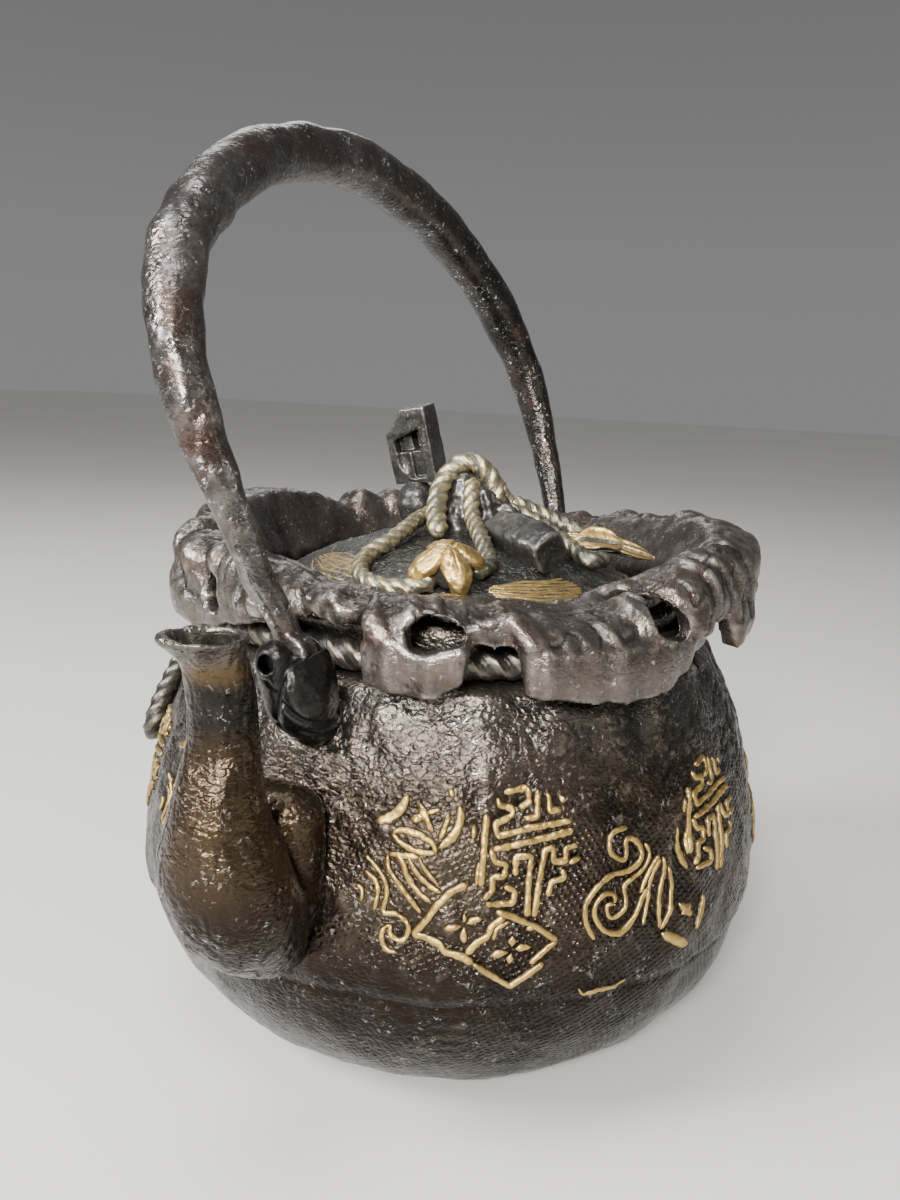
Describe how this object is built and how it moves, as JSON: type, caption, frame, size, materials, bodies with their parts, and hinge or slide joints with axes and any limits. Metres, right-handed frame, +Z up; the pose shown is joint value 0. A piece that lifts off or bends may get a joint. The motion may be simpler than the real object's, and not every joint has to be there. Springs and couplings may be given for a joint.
{
  "type": "cast iron teapot",
  "caption": "Round iron kettle shaped like a tied cloth pouch, with a pierced gathered mouth, upright spout, swinging bail handle and lift-off lid with a cord and toggle knob.",
  "frame": {"origin": "centre of the flat resting face, on the body's axis", "axes": "+Z up along the body's axis, spout towards -X, handle pivots on the X axis direction, stored handle leans towards +Y"},
  "size_m": [0.2094, 0.1703, 0.228],
  "materials": {
    "body_iron": "dark brown-black patina, half gloss, cloth-textured casting",
    "spout_iron": "warm brown patina with gold-brown glints",
    "mouth_iron": "grey-brown, lumpy, polished high spots",
    "lug_iron": "dark grey, satin",
    "handle_iron": "dark forged iron with silvery specks",
    "bronze_cord": "dark bronze rope, worn pale on the strands",
    "gilt_cord": "pale gilt rope with green-grey in its grooves",
    "gilt": "worn gilding over relief",
    "lid_bronze": "dark blue-grey bronze, fine texture",
    "knob_metal": "charcoal patina, satin"
  },
  "bodies": {
    "kettle": {"vessel": "body_iron", "spout": "spout_iron", "gathered_mouth": "mouth_iron", "neck_cord": "bronze_cord", "bow_knot": "bronze_cord", "bow_loops": "bronze_cord", "bow_tails": "bronze_cord", "front_lug": "lug_iron", "rear_lug": "lug_iron", "front_pivot_pin": "lug_iron", "rear_pivot_pin": "lug_iron", "inlay_fret_front": "gilt", "inlay_fret_side": "gilt", "inlay_fret_left": "gilt", "inlay_fret_back": "gilt", "inlay_scroll_front": "gilt", "inlay_scroll_left": "gilt", "inlay_scroll_back": "gilt", "inlay_lozenges_front": "gilt", "inlay_lozenges_back": "gilt", "inlay_spiral_front": "gilt", "inlay_spiral_right": "gilt", "inlay_spiral_back": "gilt"},
    "handle": {"handle": "handle_iron"},
    "lid": {"lid_plate": "lid_bronze", "lid_skirt": "lid_bronze", "knob_peak": "knob_metal", "knob_stud": "lid_bronze", "knob_rivet": "lid_bronze", "cord_left_loop": "gilt_cord", "cord_crown_front": "gilt_cord", "cord_crown_back": "gilt_cord", "cord_front_strand": "gilt_cord", "cord_right_strands": "gilt_cord", "gilt_bud": "gilt", "gilt_leaf_round": "gilt", "gilt_leaf_long": "gilt", "barrel_toggle": "knob_metal", "bead": "knob_metal", "bead_pin": "lid_bronze", "box_toggle": "knob_metal", "inlay_lid_brush": "gilt", "inlay_lid_fan": "gilt"}
  },
  "joints": [
    {"name": "handle_swing", "type": "hinge", "parent": "kettle", "child": "handle", "pos_m": [0, 0, 0.107], "axis": [1, 0, 0], "range_deg": [0, 39]},
    {"name": "lid_lift", "type": "slide", "parent": "kettle", "child": "lid", "axis": [0, 0, 1], "range_m": [0, 0.045]}
  ]
}
